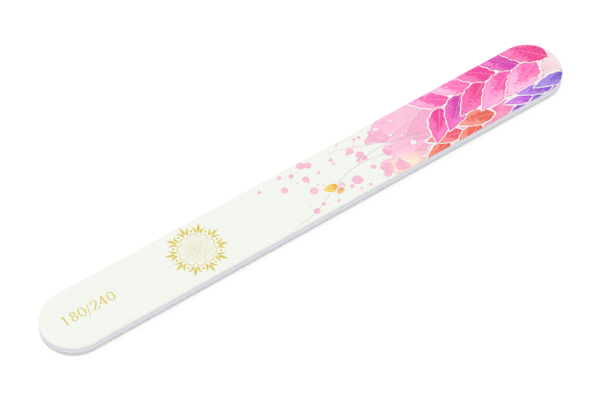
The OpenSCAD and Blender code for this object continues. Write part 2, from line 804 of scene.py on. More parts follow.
@dataclass(frozen=True)
class PrintedGrit(BareGrit):
    """The same coat in P180, with grains of 0.082 mm, printed with watercolour before it was cut.

    The painting comes as fields on the mesh, in millimetres: signed depths inside each painted edge, so
    that edges stay crisp between the mesh's points, and the paint's colours. Pigment pools along the
    edges of each wash, blooms where it was wet, and granulates on the tooth of the coat.

    Attributes:
        pale: the paint of the loose drops.
        rose: the pigment that pools in pale washes.
        plum: the drawn lines.
        berry: the spattered specks.
        washes: how the pale wash settles.
        ghosts: how the faint leaves in it settle.
        drops: how the loose drops settle.
        masks: how the masking fluid round the leaves lies.
        leaves: how the leaves settle.
        bloom: how far water thinned the wash.
        load: how much pigment a drop holds.
        pencil: how far a drawn line covers.
        line: how it fades, by the distance from its middle.
        ragged: the bare margin that masking fluid left round a leaf, in millimetres.
        thinned: how far water thinned a leaf.
        feather: how far the front of a leaf's second charge wanders.
        front: how that charge fades at its front.
        vein_pitch: distance between side veins, in millimetres.
        finer: how much finer these are than the midrib.
        vein: how a vein fades, by the distance from its middle.
        spots: places where a speck may lie.
        speck: a speck's radius, over their distance, by the paint that it got.
        speck_edge: how a speck fades at its edge.
        worn: the share of bare coat that shows on the highest grains.
    """

    tooth = Grains(0.22 * MM, 0.03 * MM)
    raised = (tooth, Grains(0.082 * MM, 0.01 * MM))
    matt = Patches(0.22 * MM, 0.65, 0.9)
    pale: str = "#fbc3da"
    rose: str = "#f19cc2"
    plum: str = "#ad6a96"
    berry: str = "#9c2470"
    washes: Brush = Brush(pooled=0.4, pool=0.8, edge=0.08, wander=0.3, grain=1.8 * MM)
    ghosts: Brush = Brush(cover=0.4, pooled=0.8, pool=0.6, edge=0.12, wander=0.15, grain=1.5 * MM)
    drops: Brush = Brush(cover=0.9, pooled=0.7, pool=0.4, wander=0.07, grain=0.7 * MM)
    masks: Brush = Brush(pooled=0.3, pool=0.15, wander=0.12, grain=0.7 * MM)
    leaves: Brush = Brush(pooled=0.55, pool=0.6, wander=0.08, grain=0.6 * MM)
    bloom: Patches = Patches(6 * MM, 0.0, 0.3)
    load: Patches = Patches(4 * MM, 0.0, 0.7)
    pencil: Patches = Patches(0.3 * MM, 0.35, 0.8)
    line: ClassVar[Settings] = SOFT | {"From Min": 0.05, "From Max": 0.13, "To Max": 0.0}
    ragged: Patches = Patches(4.5 * MM, 0.15, 0.85)
    thinned: Patches = Patches(2.6 * MM, 0.0, 0.12)
    feather: Patches = Patches(1.1 * MM, -0.16, 0.16)
    front: ClassVar[Settings] = SOFT | {"From Min": 0.2, "From Max": 0.5, "To Min": 0.0, "To Max": 0.85}
    vein_pitch: float = 1.4
    finer: float = 0.05
    vein: ClassVar[Settings] = SOFT | {"From Min": 0.03, "From Max": 0.13, "To Min": 0.4, "To Max": 0.0}
    spots: Grains = Grains(1.1 * MM)
    speck: ClassVar[Settings] = {"From Min": 1.0, "From Max": 2.0, "To Min": 0.0, "To Max": 0.3}
    speck_edge: ClassVar[Settings] = {"From Min": -0.03, "From Max": 0.03, "To Min": 0.0, "To Max": 0.8}
    worn: ClassVar[Settings] = {"To Min": 0.06, "To Max": 0.0}

    def lines(self, nodes: Nodes, offset: Source) -> Node:
        """Tell how far pencil covers, by the distance to a line over the pressure of the hand."""
        away = nodes.add("Math", {"operation": "ABSOLUTE"}, {0: offset})
        return nodes.add("MapRange", self.line, {"Value": away, "To Min": self.pencil.on(nodes)})

    def veins(self, nodes: Nodes, rib: Source, along: Source) -> Node:
        """Tell how far a leaf's veins were left pale: its midrib and evenly spaced side veins.

        Args:
            nodes: the material's nodes.
            rib: distance to the midrib, over the taper, in millimetres.
            along: distance along the leaf, which drops away from the midrib.

        Returns:
            The node that gives the share.
        """
        side = nodes.add("Math", {"operation": "PINGPONG", 1: self.vein_pitch / 2}, {0: along})
        side = nodes.add("Math", {"operation": "ADD", 1: self.finer}, {0: side})
        middle = nodes.add("Math", {"operation": "ABSOLUTE"}, {0: rib})
        away = nodes.add("Math", {"operation": "MINIMUM"}, {0: middle, 1: side})
        return nodes.add("MapRange", self.vein, {"Value": away})

    def charge(self, nodes: Nodes, share: Source) -> Node:
        """Tell how far a second charge of paint ran into the wet leaf, by nearness to its foot."""
        reach = nodes.add("Math", {"operation": "ADD"}, {0: share, 1: self.feather.on(nodes)})
        return nodes.add("MapRange", self.front, {"Value": reach})

    def specks(self, nodes: Nodes, share: Source) -> Node:
        """Spatter specks: balls round scattered points, where the face cuts through them.

        Each point's own random number, plus the paint here, less 1, is its ball's size, so that less
        paint gives both fewer and smaller specks.

        Args:
            nodes: the material's nodes.
            share: how much paint was spattered here, from 0 to 1.

        Returns:
            The node that gives the share that the specks cover.
        """
        lot, away = self.spots.lots(nodes)
        got = nodes.add("Math", {"operation": "ADD"}, {0: lot, 1: share})
        ball = nodes.add("MapRange", self.speck, {"Value": got})
        inside = nodes.add("Math", {"operation": "SUBTRACT"}, {0: ball, 1: away})
        return nodes.add("MapRange", self.speck_edge, {"Value": inside})

    def toned(self, nodes: Nodes) -> Node:
        """Colour the coat: bare grit, pale washes, drops, lines, leaves, specks and rubbed grains.

        Args:
            nodes: the material's nodes.

        Returns:
            The node that gives the colour.
        """
        number, colour = {}, {}
        for item in Field:
            read = nodes.add("Attribute", {"attribute_name": item.value})
            number[item], colour[item] = read.outputs["Fac"], read.outputs["Color"]
        bare = super().toned(nodes)

        washed = {0: self.bloom.on(nodes), MIX_A: colour[Field.WASH_COLOUR], MIX_B: bare}
        tone = nodes.add("Mix", COLOURS, washed)
        coat = self.washes.paint(nodes, number[Field.WASH_DEPTH], bare, tone, self.rose)
        coat = self.ghosts.paint(nodes, number[Field.GHOST_DEPTH], coat, self.rose, self.plum)
        tone = nodes.add("Mix", COLOURS, {0: self.load.on(nodes), MIX_A: self.pale, MIX_B: self.rose})
        coat = self.drops.paint(nodes, number[Field.DROP_DEPTH], coat, tone, self.rose)
        drawn = self.lines(nodes, number[Field.LINE_OFFSET])
        coat = nodes.add("Mix", COLOURS, {0: drawn, MIX_A: coat, MIX_B: self.plum})

        margin = {0: number[Field.LEAF_DEPTH], 1: self.ragged.on(nodes)}
        masked = nodes.add("Math", {"operation": "ADD"}, margin)
        coat = self.masks.paint(nodes, masked, coat, bare, self.shade)
        deep = colour[Field.LEAF_DEEP]
        tone = colour[Field.LEAF_COLOUR]
        leaf_layers = (
            (self.thinned.on(nodes), bare),
            (self.charge(nodes, number[Field.LEAF_CHARGE]), deep),
            (self.veins(nodes, number[Field.LEAF_RIB], number[Field.LEAF_VEIN]), bare),
        )
        for share, over in leaf_layers:
            tone = nodes.add("Mix", COLOURS, {0: share, MIX_A: tone, MIX_B: over})
        coat = self.leaves.paint(nodes, number[Field.LEAF_DEPTH], coat, tone, deep)

        spattered = self.specks(nodes, number[Field.SPECKS])
        rubbed = nodes.add("MapRange", self.worn, {"Value": self.share(nodes)})
        for share, over in ((spattered, self.berry), (rubbed, bare)):
            coat = nodes.add("Mix", COLOURS, {0: share, MIX_A: coat, MIX_B: over})
        return coat


def run_together(depths: Array, neck: float) -> Array:
    """Join shapes as wet paint does, with necks: the logarithm of the sum of their rows' exponentials."""
    return neck * np.logaddexp.reduce(depths / neck, axis=0)


@dataclass(frozen=True)
class Leaf:
    """One painted leaf, in millimetres on the face.

    Its midrib leaves the base along the heading and bends sideways with the square of the distance.
    Half its width is half of width times sin(pi s^belly), where s goes from 0 at the base to 1 at the
    tip, with a wave along it.

    Attributes:
        base: where the leaf starts.
        heading: its direction there, in degrees.
        length: along the midrib.
        width: at its widest.
        bend: how far it bends to the left, as a share of its length.
        colours: the deep paint that it is charged with, and its thin paint at the tip.
        wave: unevenness of its edge, as a share of its width.
        ripple: turn of that wave over a millimetre, in radians.
        belly: how near to the base it is widest; 1 is halfway.
        end: how near to its ends the edge's slope is worked out, as a share of its length; at them it
            is endless.
        strength: the share of deep paint at the base.
        lit: the share of white on its left side.
        fold: half the width of the stretch where that sets in.
    """

    base: Pair
    heading: float
    length: float
    width: float
    bend: float
    colours: tuple[str, str]
    wave: float = 0.05
    ripple: ClassVar[float] = 2.1
    belly: ClassVar[float] = 0.75
    end: ClassVar[float] = 1e-4
    strength: ClassVar[float] = 0.5
    lit: ClassVar[float] = 0.05
    fold: ClassVar[float] = 0.4

    def places(self, x: Array, y: Array) -> tuple[Array, Array]:
        """Turn places on the face into places along and across the leaf.

        Args:
            x: places along the file.
            y: places across it.

        Returns:
            Distance along the midrib, and distance to its left.
        """
        angle = math.radians(self.heading)
        right, up = x - self.base[0], y - self.base[1]
        along = right * math.cos(angle) + up * math.sin(angle)
        across = up * math.cos(angle) - right * math.sin(angle)
        return along, across - self.bend * np.clip(along, 0, None) ** 2 / self.length

    def depth(self, along: Array, across: Array) -> Array:
        """Signed depth inside the leaf's edge: the half width less the distance to the midrib.

        It is divided by the length of the edge's slope, so that it is about a true distance, and beyond
        the leaf's ends it is the distance to them.

        Args:
            along: distance along the midrib.
            across: distance to its left.

        Returns:
            The depth, below 0 outside the leaf.
        """
        share = np.clip(along / self.length, self.end, 1 - self.end)
        turn = np.pi * share**self.belly
        wave = 1 + self.wave * np.sin(self.ripple * along + self.base[0])
        half = 0.5 * self.width * np.sin(turn) * wave
        steepening = np.pi * self.belly * share ** (self.belly - 1) / self.length
        slope = 0.5 * self.width * np.cos(turn) * steepening
        inside = (half - np.abs(across)) / np.sqrt(1 + slope**2)
        beyond = np.hypot(along - np.clip(along, 0, self.length), across)
        return np.where((along < 0) | (along > self.length), -beyond, inside)

    def paint(self, along: Array, across: Array) -> Array:
        """Mix the leaf's paint: deepest at the base, thin at the tip, and paler on one side.

        Args:
            along: distance along the midrib.
            across: distance to its left.

        Returns:
            The colour in linear light.
        """
        deep, tip = (light_of(c) for c in self.colours)
        share = np.clip(along / self.length, 0, 1)[:, None]
        tone = tip + self.strength * (1 - share) * (deep - tip)
        lit = self.lit * smooth(-self.fold, self.fold, across)[:, None]
        return tone + lit * (1 - tone)


@dataclass(frozen=True)
class Tendril:
    """A line drawn by hand: y is level plus slope times x plus a sine, from start to end, in millimetres.

    Attributes:
        start: where it starts along the file.
        end: where it ends.
        level: its height at the middle of the file, without the sine.
        slope: how it climbs.
        swing: height of the sine.
        wave: length of the sine's wave.
        shift: where the sine starts.
    """

    start: float
    end: float
    level: float
    slope: float
    swing: float
    wave: float
    shift: float

    def at(self, x: Array | float) -> tuple[Array, Array]:
        """Height and slope of the line over places along the file.

        Args:
            x: the places.

        Returns:
            The line's y there, and how steeply it climbs.
        """
        turn = 2 * np.pi * (x - self.shift) / self.wave
        y = self.level + self.slope * x + self.swing * np.sin(turn)
        return y, self.slope + self.swing * np.cos(turn) * 2 * np.pi / self.wave


@dataclass(frozen=True)
class Spray:
    """A twig with two ranks of leaves, which point towards its tip and get smaller on the way there.

    Attributes:
        stem: the twig's line, whose end is the twig's foot and whose start is its tip.
        pitch: distance between the leaves of one rank.
        length: length of the largest leaf.
        width: its width.
        splay: angle between a leaf and the twig, in degrees.
        seed: the draw of the small differences between leaves.
        colours: paints at the base and at the tip of each leaf, taken in turn.
        shrink: the share of its size that a leaf at the tip has lost.
        sizes: how a leaf's size differs, from leaf to leaf.
        splays: how its splay differs.
        bends: how far it bends.
    """

    stem: Tendril
    pitch: float
    length: float
    width: float
    splay: float
    seed: int
    colours: tuple[tuple[str, str], ...]
    shrink: float = 0.3
    sizes: Pair = (0.9, 1.08)
    splays: Pair = (0.85, 1.15)
    bends: Pair = (0.05, 0.16)

    def leaves(self) -> list[Leaf]:
        """Set the leaves from the tip of the twig to its foot, so that lower ones cover upper ones.

        Returns:
            The leaves in the order in which they are painted.
        """
        draw = np.random.default_rng(self.seed)
        count = int((self.stem.end - self.stem.start) / self.pitch * 2)
        made = []
        for i in range(count):
            share = (i + 0.5) / count
            x = self.stem.start + share * (self.stem.end - self.stem.start)
            y, climb = self.stem.at(x)
            side = 1 if i % 2 else -1
            size = (1 - self.shrink * (1 - share)) * draw.uniform(*self.sizes)
            to_tip = 180 + math.degrees(math.atan(climb))
            heading = to_tip - side * self.splay * draw.uniform(*self.splays)
            bend = side * draw.uniform(*self.bends)
            paint = self.colours[i % len(self.colours)]
            made.append(Leaf((x, float(y)), heading, self.length * size, self.width * size, bend, paint))
        return made


@dataclass
class Painting:
    """The print on the upper face: generic leafy twigs in pinks over a pale wash, with loose drops.

    All places are in millimetres from the middle of the file. Each layer is a field over the mesh's
    points, which the printed finish turns into paint.

    Attributes:
        x: the points' places along the file.
        y: their places across it.
        wash_front: where the pale wash starts, on the middle line.
        wash_lean: how far its front leans along the file for each millimetre across.
        wash_tones: the wash's tone at places along the file.
        wash_seed: the draw of its front and holes.
        lobes: how many round lobes the front has.
        lobe_across: where they lie across the file.
        lobe_ahead: how far ahead of the front they lie.
        lobe_radius: their least and largest radius.
        lobe_neck: width of the necks where they run together.
        holes: how many holes water left in the wash.
        hole_along: where they lie along the file.
        hole_across: where they lie across it.
        hole_radius: their least and largest radius.
        hole_neck: width of the necks where they run together.
        sun: the pale yellow at one edge of the wash, and the most that it covers.
        sun_along: where that lies, and how far it reaches to either side.
        sun_across: where it starts across the file, and where it is full.
        drops: how many loose drops lie before the wash.
        drop_seed: the draw of the drops.
        drop_along: where they start, and how far they reach towards the wash.
        drop_across: where they lie across the file.
        drop_crowding: below 1, they crowd towards the wash.
        drop_radius: the least radius, and how much the largest has more.
        drop_rarity: above 1, large drops are rare.
        drop_growth: how much of its radius the farthest drop has, and how much more the nearest.
        drop_neck: width of the necks where they run together.
        margin: the least bare margin between two leaves.
        line_reach: distance from a line past which it counts as far.
        far: what it is then set to.
        line_taper: the power of a sine wave by which the pressure eases towards a line's ends.
        line_floor: the least height of that sine wave.
        rib_taper: how the midribs taper towards the tip, where 1 would be to nothing.
        vein_slant: how far side veins slant towards the tip for each millimetre from the midrib.
        charge_fall: how fast the second charge fades to the sides, in leaf widths.
        spatter: where specks lie: how many, and the stretch along the file in which they set in.
        tendrils: the drawn lines.
        ghosts: faint leaves in the wash.
        buds: two small leaves on a line, one golden and one peach.
        sprays: the twigs, from the one painted first.
    """

    x: Array
    y: Array
    wash_front: float = 28.0
    wash_lean: float = 0.45
    wash_tones: tuple[tuple[float, str], ...] = (
        (24.0, "#fccbe0"),
        (34.0, "#fbb9d7"),
        (46.0, "#faa8d0"),
        (54.0, "#f96fb4"),
        (72.0, "#f768b0"),
        (82.0, "#f7c9da"),
        (90.0, "#f6e8e4"),
    )
    wash_seed: int = 21
    lobes: int = 16
    lobe_across: Pair = (-10.0, 10.0)
    lobe_ahead: Pair = (-1.5, 3.5)
    lobe_radius: Pair = (0.9, 2.7)
    lobe_neck: float = 0.22
    holes: int = 8
    hole_along: Pair = (27.0, 37.0)
    hole_across: Pair = (-9.0, 9.0)
    hole_radius: Pair = (0.3, 1.3)
    hole_neck: float = 0.15
    sun: tuple[str, float] = ("#fdf0bf", 0.9)
    sun_along: Pair = (27.0, 6.0)
    sun_across: Pair = (-3.0, -9.0)
    drops: int = 62
    drop_seed: int = 12
    drop_along: Pair = (-14.0, 43.0)
    drop_across: Pair = (-9.6, 9.6)
    drop_crowding: float = 0.65
    drop_radius: Pair = (0.28, 1.45)
    drop_rarity: float = 1.3
    drop_growth: Pair = (0.6, 0.5)
    drop_neck: float = 0.12
    margin: float = 0.34
    line_reach: float = 0.6
    far: float = 9.0
    line_taper: float = 0.5
    line_floor: float = 1e-3
    rib_taper: float = 1.15
    vein_slant: float = 0.9
    charge_fall: float = 1.1
    spatter: tuple[tuple[float, float, float], ...] = ((0.5, 50.0, 80.0), (0.45, -6.0, 16.0))
    tendrils: tuple[Tendril, ...] = (
        Tendril(-13.0, 34.0, -5.2, 0.14, 2.4, 44.0, 3.0),
        Tendril(15.0, 46.0, -4.6, 0.12, 3.0, 52.0, 8.4),
        Tendril(9.0, 40.0, 7.6, -0.13, 1.5, 29.0, 5.0),
    )
    ghosts: tuple[Leaf, ...] = (
        Leaf((54.0, -3.0), 172.0, 20.0, 8.0, 0.1, ("#fbbfd9", "#fbbfd9")),
        Leaf((50.0, 4.0), 200.0, 17.0, 6.5, -0.12, ("#fbbfd9", "#fbbfd9")),
        Leaf((47.0, -8.0), 176.0, 15.0, 5.0, -0.08, ("#fbbfd9", "#fbbfd9")),
    )
    buds: tuple[Leaf, ...] = (
        Leaf((6.8, -4.0), 156.0, 4.8, 3.0, 0.12, ("#eaa81c", "#fbe03a"), 0.0),
        Leaf((7.6, -4.6), 214.0, 3.2, 1.9, -0.1, ("#ee9a86", "#f6d25a"), 0.0),
    )
    sprays: tuple[Spray, ...] = (
        Spray(
            Tendril(40.0, 63.0, -7.6, 0.0, 0.8, 50.0, 60.0), 9.5, 14.5, 6.2, 26.0, 3,
            (("#e8483a", "#fb8e74"), ("#f03c60", "#fc8088"), ("#ec5240", "#fc9a80")),
        ),
        Spray(
            Tendril(46.0, 89.0, 4.4, -0.03, 1.8, 70.0, 46.0), 8.4, 20.0, 9.2, 42.0, 8,
            (
                ("#ee1494", "#ff5cbc"),
                ("#f838a8", "#ffa8de"),
                ("#d212a8", "#fa4cc0"),
                ("#fc56b2", "#ffc4e8"),
                ("#f01c8c", "#ff52b4"),
            ),
        ),
        Spray(
            Tendril(68.0, 94.0, -16.6, 0.1, 0.8, 44.0, 50.0), 6.8, 13.0, 4.2, 25.0, 5,
            (("#8630cc", "#c27cf0"), ("#b02cd4", "#de70ea"), ("#6a3cc4", "#a87aec")),
        ),
    )

    def discs(self, along: Array, across: Array, radius: Array) -> Array:
        """Depth inside discs, one row for each: its radius less the distance to its centre."""
        return radius[:, None] - np.hypot(self.x - along[:, None], self.y - across[:, None])

    def wash(self) -> tuple[Array, Array]:
        """Lay the pale wash: a half plane with round lobes run into its front, and holes left by water.

        Returns:
            The depth inside the wash, and its colour in linear light.
        """
        draw = np.random.default_rng(self.wash_seed)
        front = self.x - self.wash_front - self.wash_lean * self.y
        across = draw.uniform(*self.lobe_across, self.lobes)
        along = self.wash_front + self.wash_lean * across - draw.uniform(*self.lobe_ahead, self.lobes)
        lobes = self.discs(along, across, draw.uniform(*self.lobe_radius, self.lobes))
        plane = front / math.hypot(1, self.wash_lean)
        depth = run_together(np.concatenate([plane[None], lobes]), self.lobe_neck)
        stretches = (self.hole_along, self.hole_across, self.hole_radius)
        holes = self.discs(*(draw.uniform(*stretch, self.holes) for stretch in stretches))
        depth = np.minimum(depth, -run_together(holes, self.hole_neck))

        stops = np.array([s for s, _ in self.wash_tones])
        tones = np.array([light_of(c) for _, c in self.wash_tones])
        colour = np.stack([np.interp(self.x, stops, tones[:, k]) for k in range(3)], 1)
        yellow, most = self.sun
        middle, reach = self.sun_along
        sunny = most * np.exp(-(((self.x - middle) / reach) ** 2)) * smooth(*self.sun_across, self.y)
        return depth, colour + sunny[:, None] * (light_of(yellow) - colour)

    def scatter(self) -> Array:
        """Scatter loose drops on the bare coat, larger and closer together towards the wash.

        Returns:
            The depth inside the drops, which run together where they touch.
        """
        draw = np.random.default_rng(self.drop_seed)
        near = draw.uniform(0, 1, self.drops) ** self.drop_crowding
        start, reach = self.drop_along
        across = draw.uniform(*self.drop_across, self.drops)
        least, more = self.drop_radius
        radius = least + more * draw.uniform(0, 1, self.drops) ** self.drop_rarity
        farthest, growth = self.drop_growth
        discs = self.discs(start + reach * near, across, radius * (farthest + growth * near))
        return run_together(discs, self.drop_neck)

    def lines(self) -> Array:
        """Draw the tendrils, and the stems of the sprays.

        Past the reach of a line its distance counts as far, on the same side, so that the change of sign
        halfway between two lines falls in too short a stretch to show as a line.

        Returns:
            The signed distance to the nearest line, over the pressure of the hand there.
        """
        offset = np.full(len(self.x), self.far)
        for line in (*self.tendrils, *(s.stem for s in self.sprays)):
            level, climb = line.at(self.x)
            away = (self.y - level) / np.sqrt(1 + climb**2)
            share = np.clip((self.x - line.start) / (line.end - line.start), 0.0, 1.0)
            away = away / np.maximum(np.sin(np.pi * share), self.line_floor) ** self.line_taper
            away = np.where(np.abs(away) < self.line_reach, away, self.far * np.sign(away))
            nearer = (share > 0) & (share < 1) & (np.abs(away) < np.abs(offset))
            offset = np.where(nearer, away, offset)
        return offset

    def blades(self) -> dict[Field, Array]:
        """Paint the leaves one over another, with a margin of bare coat round each.

        A new leaf pushes what lies below it back by the margin: the depth becomes the smaller of the old
        depth and the distance past the margin, or the new leaf's own depth where that is larger. The rib
        field is the distance to the midrib over a taper, the vein field the distance along the leaf less
        the slant times the distance to the midrib, and the charge field falls from 1 at the leaf's foot
        towards its tip and its sides.

        Returns:
            The leaves' fields.
        """
        depth = np.full(len(self.x), -self.far)
        rib, vein, charge = np.zeros((3, len(self.x)))
        colour, deep = np.ones((2, len(self.x), 3))
        painted = [leaf for spray in self.sprays for leaf in spray.leaves()]
        for leaf in (*self.buds, *painted):
            along, across = leaf.places(self.x, self.y)
            inside = leaf.depth(along, across)
            depth = np.maximum(np.minimum(depth, -inside - self.margin), inside)
            covered = inside > -self.margin / 2
            along, across = along[covered], across[covered]
            share = np.clip(along / leaf.length, 0, 1)
            rib[covered] = across / (self.rib_taper - share)
            vein[covered] = along - self.vein_slant * np.abs(across)
            charge[covered] = 1 - share - self.charge_fall * np.abs(across) / leaf.width
            colour[covered] = leaf.paint(along, across)
            deep[covered] = light_of(leaf.colours[0])
        return {
            Field.LEAF_DEPTH: depth,
            Field.LEAF_RIB: rib,
            Field.LEAF_VEIN: vein,
            Field.LEAF_CHARGE: charge,
            Field.LEAF_COLOUR: colour,
            Field.LEAF_DEEP: deep,
        }

    def fields(self) -> dict[Field, Array]:
        """Work out every layer of the painting.

        Returns:
            All fields at the points.
        """
        wash_depth, wash_colour = self.wash()
        ghosts = [leaf.depth(*leaf.places(self.x, self.y)) for leaf in self.ghosts]
        return {
            Field.WASH_DEPTH: wash_depth,
            Field.WASH_COLOUR: wash_colour,
            Field.GHOST_DEPTH: np.max(ghosts, 0),
            Field.DROP_DEPTH: self.scatter(),
            Field.LINE_OFFSET: self.lines(),
            Field.SPECKS: sum(share * smooth(start, end, self.x) for share, start, end in self.spatter),
            **self.blades(),
        }


@dataclass(frozen=True)
class Stock:
    """What a sheet is cut from, and what the die does to its edge.

    Attributes:
        slot: the record's material slot.
        material: its finish.
        relief: unevenness of the cut rim.
        waist: how far the rim draws in.
        rows: rows of points up the rim between its two corners.
        padding: how far it is filled, where it is a soft pad; not used.
    """

    slot: str
    material: bpy.types.Material
    relief: Relief
    waist: float = 0.0
    rows: int = 1
    padding: float | None = None


@dataclass
class Sheet:
    """One sheet of the laminate.

    Attributes:
        name: the piece's name.
        node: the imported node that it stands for.
        stock: what it is cut from.
        low: height of its flat underside.
        low_turn: which way the underside turns at the rim.
        high: height of its flat top.
        high_turn: which way the top turns at the rim.
        grid: spacing of its points along the rim.
        sharp: folds of more than this many degrees stay sharp.
    """

    name: str
    node: str
    stock: Stock
    low: float
    low_turn: Turn
    high: float
    high_turn: Turn
    grid: float = 0.25 * MM
    sharp: float = 38

    def stations(self, outline: Outline) -> Track:
        """Lay stations at even distances round the outline."""
        end = outline.half_run
        return outline.round_trip(np.linspace(-end, end, int(2 * end / self.grid) + 1), self.grid)

    def section(self, die: Die, track: Track) -> tuple[Array, Array]:
        """Work out the half section at every station: underside, uneven rim and top.

        The rim runs straight between its corners and draws in along half a sine wave, and the relief
        sets each of its points further in. On a pad the relief fades towards the corners, which are glued.

        Args:
            die: the die's cut.
            track: the stations round the outline.

        Returns:
            Distances from the spine and heights, one row for each station.
        """
        low_out, low_height = die.face(self.low, self.low_turn)
        high_out, high_height = die.face(self.high, self.high_turn)
        up = np.linspace(0, 1, self.stock.rows + 2)
        edge_height = low_height[-1] + (high_height[-1] - low_height[-1]) * up
        edge_out = die.outline.radius - self.stock.waist * np.sin(np.pi * up)
        out = np.concatenate([low_out[:-1], edge_out, high_out[-2::-1]])
        height = np.concatenate([low_height[:-1], edge_height, high_height[-2::-1]])
        out, height = (np.repeat(part[None], len(track.spine), 0) for part in (out, height))
        edge = slice(len(low_out) - 1, len(low_out) - 1 + len(up))
        held = np.sqrt(np.sin(np.pi * up)) if self.stock.waist else 1.0
        out[:, edge] -= held * self.stock.relief.inset(track, height[:, edge])
        return out, height

    def shape(self, die: Die) -> bpy.types.Mesh:
        """Work out the sheet's closed mesh."""
        track = self.stations(die.outline)
        return track.carried(*self.section(die, track)).mesh(self.name, self.sharp)

    def build(self, die: Die) -> bpy.types.Object:
        """Make the sheet as a piece with its finish.

        Args:
            die: the die's cut.

        Returns:
            The finished piece.
        """
        piece = show(self.shape(die), self.stock.material, (self.node,))
        return piece


@dataclass
class PrintedSheet(Sheet):
    """The upper grit coat: the same sheet with a fine grid on its face that carries the painting.

    Attributes:
        plain_grid: spacing of its points along the file where nothing is printed.
        printed_from: where the print starts along the file.
        sink: how far the face lies below the highest grains, which the foil's top is level with.
    """

    grid: float = 0.2 * MM
    plain_grid: float = 1.6 * MM
    printed_from: float = -18 * MM
    sink: float = 0.03 * MM

    def stations(self, outline: Outline) -> Track:
        """Lay stations close together under the print, and far apart where there is none.

        Args:
            outline: the board's outline.

        Returns:
            The stations round it.
        """
        end = outline.half_run
        plain = np.arange(-end, self.printed_from - self.plain_grid / 2, self.plain_grid)
        fine = np.linspace(self.printed_from, end, int((end - self.printed_from) / self.grid) + 1)
        return outline.round_trip(np.concatenate([plain, fine]), self.grid)

    def section(self, die: Die, track: Track) -> tuple[Array, Array]:
        """Sink the top of the sheet's section, and lead it inwards over the face on the fine grid.

        Args:
            die: the die's cut.
            track: the stations round the outline.

        Returns:
            Distances from the spine and heights, one row for each station.
        """
        out, height = super().section(die, track)
        height[:, -(die.steps + 1) :] -= self.sink
        flat = die.outline.radius - die.roll_width
        inner = np.linspace(flat, 0, int(flat / self.grid) + 1)[1:-1]
        top = np.full((len(height), len(inner)), self.high - self.sink)
        out = np.concatenate([out, np.repeat(inner[None], len(out), 0)], 1)
        return out, np.concatenate([height, top], 1)

    def shape(self, die: Die) -> bpy.types.Mesh:
        """Work out the coat's mesh, and write the painting's fields onto its points.

        Args:
            die: the die's cut.

        Returns:
            The closed mesh with the fields.
        """
        mesh = super().shape(die)
        points = np.empty(len(mesh.vertices) * 3)
        mesh.vertices.foreach_get("co", points)
        x, y, _ = points.reshape(-1, 3).T / MM
        for item, values in Painting(x, y).fields().items():
            if values.ndim == 1:
                made = mesh.attributes.new(item.value, "FLOAT", "POINT")
                made.data.foreach_set("value", values.astype(np.float32))
            else:
                made = mesh.attributes.new(item.value, "FLOAT_COLOR", "POINT")
                solid = np.concatenate([values, np.ones((len(values), 1))], 1)
                made.data.foreach_set("color", solid.astype(np.float32).ravel())
        return mesh


@dataclass(frozen=True)
class Stroke:
    """A stroke of foil along a path on the face, in millimetres.

    Its section has seven points: two at the foot, two at the shoulder, and three over a low dome.

    Attributes:
        path: the middle of the stroke, one place in each row.
        half_width: half its width at each place.
        closed: whether the path ends where it starts.
        aside: how far aside each section point lies, as a share of the half width.
        rise: how high it lies, as a share of the foil's height.
    """

    path: Array
    half_width: Array
    closed: bool = False
    aside: ClassVar[Array] = np.array([1.0, 1.0, 0.72, 0.0, -0.72, -1.0, -1.0])
    rise: ClassVar[Array] = np.array([0.0, 0.62, 0.92, 1.0, 0.92, 0.62, 0.0])

    def shell(self, foot: float, top: float) -> Shell:
        """Carry the section along the path.

        Args:
            foot: height of its sunk underside, in metres.
            top: height of the dome, in metres.

        Returns:
            The closed surface.
        """
        along = tangents(self.path, self.closed)
        left = np.stack([-along[:, 1], along[:, 0]], 1)
        flat = self.path[:, None] + self.aside[:, None] * (self.half_width[:, None] * left)[:, None]
        height = np.broadcast_to(foot + (top - foot) * self.rise, flat.shape[:2])
        points = np.concatenate([flat * MM, height[:, :, None]], 2).reshape(-1, 3)

        count, corners = len(self.path), len(self.aside)
        steps = np.arange(count if self.closed else count - 1)
        here = steps[:, None] * corners + np.arange(corners)
        there = ((steps + 1) % count)[:, None] * corners + np.arange(corners)
        quads = np.stack([here, np.roll(here, -1, 1), np.roll(there, -1, 1), there], 2).reshape(-1, 4)
        second = np.arange(1, corners - 1)
        fan = np.stack([0 * second, second, second + 1], 1)
        ends = [fan[:, ::-1], fan + (count - 1) * corners]
        return Shell(points, quads, np.zeros((0, 3), int) if self.closed else np.concatenate(ends))


@dataclass(frozen=True)
class Pen:
    """A pen for upright figures: strokes are thick where they run up and thin where they run across.

    Attributes:
        thin: width of a stroke that runs across.
        thick: width of one that runs up.
        points: places along a stroke.
        contrast: how sharply the width changes from thin to thick.
    """

    thin: float
    thick: float
    points: int = 40
    contrast: float = 1.5

    def drawn(self, path: Array, closed: bool = False) -> Stroke:
        """Draw along a path: the width is thin plus the rest times a power of the path's steepness."""
        steep = np.abs(tangents(path, closed)[:, 1]) ** self.contrast
        return Stroke(path, 0.5 * (self.thin + (self.thick - self.thin) * steep), closed)

    def straight(self, start: Pair, end: Pair) -> Stroke:
        """Draw a straight line."""
        return self.drawn(np.linspace(start, end, self.points))

    def bow(self, *corners: Pair) -> Stroke:
        """Draw a cubic curve, the Bernstein sum of its four corners.

        Args:
            corners: the curve's ends, and its two handles between them.

        Returns:
            The stroke.
        """
        t = np.linspace(0, 1, self.points)[:, None]
        weights = ((1 - t) ** 3, 3 * t * (1 - t) ** 2, 3 * t**2 * (1 - t), t**3)
        return self.drawn(sum(w * np.array(c) for w, c in zip(weights, corners)))

    def ring(self, centre: Pair, across: float, up: float) -> Stroke:
        """Draw an ellipse, by half its width and half its height."""
        return self.drawn(np.array(centre) + ellipse(across, up, full_turn(2 * self.points)), True)


